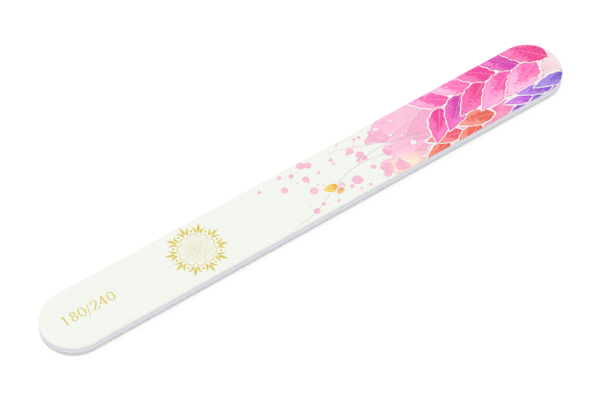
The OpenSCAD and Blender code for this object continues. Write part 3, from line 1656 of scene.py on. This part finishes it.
@dataclass
class GritNumbers:
    """The two grit sizes, in plain upright figures drawn by formula.

    Attributes:
        text: the figures, with a stroke between them.
        left: where the first figure starts, in millimetres.
        foot: the figures' foot line.
        height: height of a figure.
        advance: room that a figure takes along the line, as a share of the height.
        stroke_advance: room that the stroke between the numbers takes.
        pen: the pen, in units of the height.
        hairline: the finer pen of that stroke.
    """

    text: str = "180/240"
    left: float = -82.65
    foot: float = -0.95
    height: float = 3.15
    advance: float = 0.83
    stroke_advance: float = 0.46
    pen: Pen = Pen(thin=0.06, thick=0.13)
    hairline: Pen = Pen(thin=0.075, thick=0.075)

    def figures(self) -> dict[str, list[Stroke]]:
        """Draw the figures, each one unit high, from straight lines, cubic bows and ellipses.

        Returns:
            The strokes of each figure, and of the stroke between the numbers.
        """
        pen = self.pen
        return {
            "0": [pen.ring((0.36, 0.5), 0.285, 0.48)],
            "1": [
                pen.straight((0.34, 0.0), (0.34, 0.98)),
                pen.bow((0.35, 0.97), (0.3, 0.9), (0.23, 0.85), (0.14, 0.83)),
                pen.straight((0.18, 0.02), (0.5, 0.02)),
            ],
            "2": [
                pen.bow((0.09, 0.7), (0.1, 1.08), (0.64, 1.09), (0.6, 0.71)),
                pen.bow((0.6, 0.71), (0.56, 0.47), (0.27, 0.27), (0.08, 0.04)),
                pen.straight((0.07, 0.035), (0.62, 0.035)),
                pen.straight((0.61, 0.03), (0.67, 0.22)),
            ],
            "4": [
                pen.straight((0.47, 0.98), (0.03, 0.3)),
                pen.straight((0.02, 0.29), (0.67, 0.29)),
                pen.straight((0.47, 0.0), (0.47, 0.99)),
                pen.straight((0.33, 0.02), (0.61, 0.02)),
            ],
            "8": [pen.ring((0.36, 0.74), 0.2, 0.235), pen.ring((0.36, 0.265), 0.25, 0.25)],
            "/": [self.hairline.straight((-0.06, -0.3), (0.27, 0.95))],
        }

    def strokes(self) -> list[Stroke]:
        """Set the figures side by side at their real size.

        Returns:
            All strokes, in millimetres on the face.
        """
        made = []
        figures = self.figures()
        corner = np.array([self.left, self.foot])
        for sign in self.text:
            for s in figures[sign]:
                made.append(Stroke(corner + self.height * s.path, self.height * s.half_width, s.closed))
            corner[0] += self.height * (self.advance if sign.isdigit() else self.stroke_advance)
        return made


@dataclass
class Rosette:
    """A generic stamped ornament: engine-turned rings inside a border of palmettes, in millimetres.

    Attributes:
        centre: its middle on the face.
        inner: radius of the engine-turned rings.
        outer: radius of the palmettes' tips.
        palmettes: how many stand round it.
        line: width of a ring's line.
        ring_points: places round a ring.
        plain: radii of the plain rings, as shares of the inner radius.
        waved: mean and swing of the waved rings' radii, as such shares, their waves and their copies.
        blade_points: places along a blade.
        blade_tip: half the width of a blade's tip.
        blade_swell: how near to its foot a blade is widest; 1 is halfway.
        middle_blade: radius of the foot of a palmette's middle blade, and its width.
        side_blade: the same of the two blades beside it.
        side_short: how much shorter these are.
        side_turn: how far round from the middle they start, and how far their tips lean over.
        arch_points: places along an arch.
        arch: radius of its feet, and how far it rises.
        arch_half: half the width of its line at its feet, and how much more it has at its top.
        bead: radius that a bead lies at, and its own.
        bead_points: places round a bead.
        bead_line: radius and half width of a bead's ring, as shares of its radius.
    """

    centre: Pair = (-38.8, 0.4)
    inner: float = 4.3
    outer: float = 9.2
    palmettes: int = 10
    line: float = 0.07
    ring_points: int = 480
    plain: tuple[float, ...] = (1.0, 0.12)
    waved: tuple[tuple[float, float, int, int], ...] = ((0.69, 0.21, 10, 2), (0.3, 0.13, 5, 2))
    blade_points: int = 30
    blade_tip: float = 0.03
    blade_swell: float = 0.7
    middle_blade: Pair = (6.3, 0.8)
    side_blade: Pair = (5.7, 0.62)
    side_short: float = 1.1
    side_turn: Pair = (0.1, 0.16)
    arch_points: int = 40
    arch: Pair = (4.75, 0.85)
    arch_half: Pair = (0.05, 0.09)
    bead: Pair = (6.7, 0.36)
    bead_points: int = 20
    bead_line: Pair = (0.52, 0.48)

    def placed(self, radius: Array, turn: Array) -> Array:
        """Places at radii and angles from the centre."""
        return np.array(self.centre) + ellipse(radius, radius, turn)

    def rings(self) -> list[Stroke]:
        """Engine-turned rings: each radius is a mean plus a sine, in copies shifted along its wave.

        Returns:
            The closed lines.
        """
        turn = full_turn(self.ring_points)
        radii = [np.full(len(turn), share) for share in self.plain]
        for mean, swing, waves, copies in self.waved:
            radii += [mean + swing * np.sin(waves * turn + k * 2 * np.pi / copies) for k in range(copies)]
        half = np.full(len(turn), self.line / 2)
        return [Stroke(self.placed(self.inner * r, turn), half, True) for r in radii]

    def blade(self, foot: float, tip: float, width: float, turn: float, lean: float) -> Stroke:
        """One blade of a palmette: it swells as sin(pi t^swell) and leans over as the square of t.

        Args:
            foot: radius of its foot.
            tip: radius of its tip.
            width: its greatest width.
            turn: its angle round the rosette, in radians.
            lean: how far its tip leans to the left, in radians.

        Returns:
            The stroke.
        """
        t = np.linspace(0, 1, self.blade_points)
        half = self.blade_tip + 0.5 * width * np.sin(np.pi * t**self.blade_swell)
        return Stroke(self.placed(foot + (tip - foot) * t, turn + lean * t**2), half)

    def round_bead(self, turn: float) -> Stroke:
        """A round bead: a ring whose line reaches from its middle to its edge.

        Args:
            turn: its angle round the rosette, in radians.

        Returns:
            The closed stroke.
        """
        away, radius = self.bead
        ring, half = (share * radius for share in self.bead_line)
        middle = self.placed(np.array([away]), np.array([turn]))
        path = middle + ellipse(ring, ring, full_turn(self.bead_points))
        return Stroke(path, np.full(self.bead_points, half), True)

    def border(self) -> list[Stroke]:
        """Palmettes of three blades, with an arch and a bead between each two.

        Returns:
            The strokes.
        """
        made = []
        pitch = 2 * np.pi / self.palmettes
        t = np.linspace(0, 1, self.arch_points)
        foot, width = self.middle_blade
        side_foot, side_width = self.side_blade
        aside, lean = self.side_turn
        low, rise = self.arch
        thin, swell = self.arch_half
        for i in range(self.palmettes):
            turn = (i + 0.5) * pitch
            made.append(self.blade(foot, self.outer, width, turn, 0.0))
            for side in (-1, 1):
                tip = self.outer - self.side_short
                made.append(self.blade(side_foot, tip, side_width, turn + side * aside, side * lean))
            arch = self.placed(low + rise * np.sin(np.pi * t), turn + pitch * t)
            made.append(Stroke(arch, thin + swell * np.sin(np.pi * t)))
            made.append(self.round_bead(turn + pitch / 2))
        return made


@dataclass
class Stamping:
    """The gold foil on the upper face, pressed a little into the coat.

    Attributes:
        top: height of the foil's face.
        sunk: how far its underside lies below that.
        sharp: folds of more than this many degrees stay sharp.
        numbers: the grit sizes.
        rosette: the ornament.
    """

    top: float
    sunk: float = 0.07 * MM
    sharp: float = 50
    numbers: GritNumbers = field(default_factory=GritNumbers)
    rosette: Rosette = field(default_factory=Rosette)

    def build(self) -> list[bpy.types.Object]:
        """Make the foil pieces.

        Returns:
            The numbers, the rings and the border.
        """
        foil = GoldFoil("hot_stamped_gold_foil").material()
        parts = {
            "foil_grit_numbers": self.numbers.strokes(),
            "foil_rings": self.rosette.rings(),
            "foil_border": self.rosette.border(),
        }
        made = []
        for name, strokes in parts.items():
            shell = Shell.joined([s.shell(self.top - self.sunk, self.top) for s in strokes])
            made.append(show(shell.mesh(name, self.sharp), foil))
        return made


@dataclass
class Board:
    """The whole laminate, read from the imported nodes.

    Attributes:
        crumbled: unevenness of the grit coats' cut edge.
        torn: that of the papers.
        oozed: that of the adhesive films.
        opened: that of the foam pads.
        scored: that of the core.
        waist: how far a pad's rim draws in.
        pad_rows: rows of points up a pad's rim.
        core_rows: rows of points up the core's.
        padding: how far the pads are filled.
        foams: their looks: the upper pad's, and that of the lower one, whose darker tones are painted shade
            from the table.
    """

    crumbled: Relief = Relief(0.03 * MM, 0.35 * MM, 0.3 * MM, seed=1)
    torn: Relief = Relief(0.02 * MM, 0.5 * MM, 0.4 * MM, seed=2)
    oozed: Relief = Relief(0.03 * MM, 2.5 * MM, 0.6 * MM, seed=3)
    opened: Relief = Relief(0.05 * MM, 0.9 * MM, 0.7 * MM, seed=4)
    scored: Relief = Relief(0.012 * MM, 0.8 * MM, 0.0, seed=5)
    waist: float = 0.12 * MM
    pad_rows: int = 8
    core_rows: int = 3
    padding: float = 1.0
    # the second look is the same foam in darker tones: painted shade from the table
    foams: tuple[tuple[str, ...], ...] = (("eva_foam",), ("eva_foam_with_painted_shade", "#e9e9f0", "#cdcdd8"))

    def stack(self) -> list[tuple[str, str, Stock]]:
        """List what is glued together, from the table up.

        Returns:
            Each sheet's piece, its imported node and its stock.
        """
        fine = Stock("fine_grit", BareGrit("fine_alumina_grit").material(), self.crumbled)
        medium = Stock("medium_grit", PrintedGrit("printed_alumina_grit").material(), self.crumbled)
        paper = Stock("backing_paper", CutPaper("kraft_backing_paper").material(), self.torn)
        film = Stock("adhesive_film", AdhesiveFilm("acrylic_adhesive_film").material(), self.oozed)
        plastic = CutPolystyrene("polystyrene_sheet").material()
        core = Stock("core_plastic", plastic, self.scored, rows=self.core_rows)
        # dull is the lower pad's foam, darkened as painted shade
        white, dull = (CellFoam(*look).material() for look in self.foams)
        foam = Stock("cushion_foam", white, self.opened, self.waist, self.pad_rows, self.padding)
        return [
            ("lower_grit", "grit_coat_240", fine),
            ("lower_paper", "paper_backing_240", paper),
            ("lower_film", "paper_film_240", film),
            # the lower pad takes the foam with painted shade
            ("lower_foam", "foam_pad_240", replace(foam, material=dull)),
            ("lower_core_film", "core_film_240", film),
            ("core", "core_strip", core),
            ("upper_core_film", "core_film_180", film),
            ("upper_foam", "foam_pad_180", foam),
            ("upper_film", "paper_film_180", film),
            ("upper_paper", "paper_backing_180", paper),
            ("upper_grit", "grit_coat_180", medium),
        ]

    def faces(self, nodes: list[str]) -> list[tuple[float, Turn]]:
        """Read the flat faces' heights: undersides up to the core's, and tops from the core's on.

        A third of them lies in the papers on either side, and turns towards the core at the rim. The
        third between them stays flat.

        Args:
            nodes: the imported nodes, from the table up.

        Returns:
            Each face's height, and which way it turns, from the table up.
        """
        core = nodes.index("core_strip")
        heights = [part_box(n)[0].z for n in nodes[: core + 1]] + [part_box(n)[1].z for n in nodes[core:]]
        turned = len(heights) // 3
        return list(zip(heights, [Turn.UP] * turned + [Turn.FLAT] * turned + [Turn.DOWN] * turned))

    def build(self) -> list[bpy.types.Object]:
        """Build every sheet and the stamping on the top one.

        Returns:
            All pieces of the file.
        """
        stack = self.stack()
        faces = self.faces([node for _, node, _ in stack])
        outline = Outline.from_box(*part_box("core_strip"))
        rolled_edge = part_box("grit_coat_180")[0].z
        die = Die(outline, roll_drop=faces[-2][0] - rolled_edge)
        made = []
        for (name, node, stock), low, high in zip(stack, faces, faces[1:]):
            kind = PrintedSheet if stock.slot == "medium_grit" else Sheet
            made.append(kind(name, node, stock, *low, *high).build(die))
        return made + Stamping(faces[-1][0]).build()


def seen(nodes: Nodes) -> Node:
    """Tell rays of the camera, of a reflection and through glass from rays that carry light.

    Args:
        nodes: the nodes of a material or of the world.

    Returns:
        The node that gives 1 for rays that show the background.
    """
    path = nodes.add("LightPath").outputs
    direct = {0: path["Is Camera Ray"], 1: path["Is Glossy Ray"]}
    either = nodes.add("Math", {"operation": "MAXIMUM"}, direct)
    return nodes.add("Math", {"operation": "MAXIMUM"}, {0: either, 1: path["Is Transmission Ray"]})


@dataclass(frozen=True)
class FloorPaper(Finish):
    """Matt white background paper, lifted towards plain white where a ray shows it.

    The lift fades out near the file's rolled rim: a painted shade along the crevice under it.

    Attributes:
        outline: the file's outline on the paper.
        colour: the paper.
        lifted: the share of plain white that the camera and reflections see.
        glow: how bright that white is.
        painted_shade_band: how far under the rim, and how far out from it, the lift fades in; the paper
        left darker there is painted shade.
    """

    outline: Outline
    colour: str = "#f1f1f1"
    lifted: float = 0.57
    glow: float = 1.15
    painted_shade_band: Pair = (0.25 * MM, 0.14 * MM)

    def surface(self, nodes: Nodes) -> Node:
        """Build the paper, with painted shade near the rim: the distance to the file's spine tells where the
        lift begins.

        Args:
            nodes: the material's nodes.

        Returns:
            The shader.
        """
        folded = nodes.add("VectorMath", {"operation": "ABSOLUTE"}, {0: nodes.place})
        run = {"operation": "SUBTRACT", 1: (self.outline.half_run, 0.0, 0.0)}
        beyond = nodes.add("VectorMath", run, {0: folded})
        ahead = {"operation": "MAXIMUM", 1: (0.0, 0.0, 0.0)}
        nearest = nodes.add("VectorMath", ahead, {0: beyond})
        away = nodes.add("VectorMath", {"operation": "LENGTH"}, {0: nearest})
        # painted shade: the lift fades out near the rim, so the paper darkens there whatever the light
        under, out = self.painted_shade_band
        fade = {"From Min": self.outline.radius - under, "From Max": self.outline.radius + out}
        fade |= SOFT | {"To Min": 0.0, "To Max": self.lifted}
        lift = nodes.add("MapRange", fade, {"Value": away})
        share = nodes.add("Math", {"operation": "MULTIPLY"}, {0: lift, 1: seen(nodes)})
        paper = nodes.add("BsdfDiffuse", links={"Color": self.colour})
        glow = nodes.add("Emission", {"Strength": self.glow})
        return nodes.add("MixShader", links={0: share, 1: paper, 2: glow})


@dataclass
class Studio:
    """A pale floor, soft overhead light and the camera, placed as the photograph's was.

    Attributes:
        azimuth: the camera's direction round the file, in degrees.
        elevation: its height above the floor, in degrees.
        distance: from the point that it looks at.
        target: that point.
        lens: focal length in millimetres.
        sensor: width of the sensor in millimetres.
        clip: nearest and farthest distance that the camera sees.
        sky_strength: light from all round.
        lamp_power: of the soft lamp, in watts.
        lamp_size: its diameter.
        lamp_place: where it hangs.
        floor_gap: how far the floor lies below the file.
        floor_half: half the floor's width.
    """

    azimuth: float = -34.8727
    elevation: float = 51.9818
    distance: float = 640.03 * MM
    target: tuple[float, float, float] = (-4.349 * MM, -0.46 * MM, 1.8 * MM)
    lens: float = 134.69
    sensor: float = 36.0
    clip: Pair = (0.01, 20.0)
    sky_strength: float = 0.855
    lamp_power: float = 1.9
    lamp_size: float = 0.9
    lamp_place: tuple[float, float, float] = (-0.1, 0.3, 0.85)
    floor_gap: float = 0.02 * MM
    floor_half: float = 2.5

    def sky(self) -> None:
        """Light the file from all round, and show plain white behind it."""
        world = bpy.data.worlds.new("studio_sky")
        world.use_nodes = True
        world.node_tree.nodes.clear()
        nodes = Nodes(world.node_tree)
        ends = {"To Min": self.sky_strength, "To Max": 1.0}
        strength = nodes.add("MapRange", ends, {"Value": seen(nodes)})
        light = nodes.add("Background", links={"Color": "#ffffff", "Strength": strength})
        nodes.add("OutputWorld", links={"Surface": light})
        bpy.context.scene.world = world

    def floor(self) -> None:
        """Lay a large square of background paper just under the file."""
        half, height = self.floor_half, -self.floor_gap
        corners = [(-half, -half, height), (half, -half, height), (half, half, height), (-half, half, height)]
        mesh = bpy.data.meshes.new("floor")
        mesh.from_pydata(corners, [], [(0, 1, 2, 3)])
        mesh.materials.append(FloorPaper("matt_white_paper", Outline.from_box(*CAD_BOX)).material())
        put("floor", mesh)

    def lamp(self) -> None:
        """Hang one large soft light over the file, a little behind it."""
        light = bpy.data.lights.new("softbox", "AREA")
        light.shape = "DISK"
        light.size = self.lamp_size
        light.energy = self.lamp_power
        lamp = put("softbox", light)
        lamp.location = self.lamp_place
        lamp.rotation_mode = "QUATERNION"
        lamp.rotation_quaternion = Vector(self.lamp_place).to_track_quat("Z", "Y")
        lamp.visible_glossy = False

    def camera(self) -> None:
        """Place the camera: it looks at the target from the azimuth and elevation, upright."""
        data = bpy.data.cameras.new("camera")
        data.lens = self.lens
        data.sensor_width = self.sensor
        data.clip_start, data.clip_end = self.clip
        azimuth, elevation = math.radians(self.azimuth), math.radians(self.elevation)
        level = math.cos(elevation)
        back = Vector((math.sin(azimuth) * level, -math.cos(azimuth) * level, math.sin(elevation)))
        camera = put("camera", data)
        camera.location = Vector(self.target) + back * self.distance
        camera.rotation_mode = "QUATERNION"
        camera.rotation_quaternion = (-back).to_track_quat("-Z", "Y")
        bpy.context.scene.camera = camera

    def build(self) -> None:
        """Set up the whole studio."""
        bpy.context.scene.view_settings.view_transform = "Standard"
        self.sky()
        self.floor()
        self.lamp()
        self.camera()


def main() -> None:
    """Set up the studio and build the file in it."""
    logging.basicConfig(level=logging.INFO, format="%(name)s: %(message)s")
    Studio().build()
    pieces = Board().build()
    log.info("%d pieces", len(pieces))


if __name__ == "__main__":
    main()
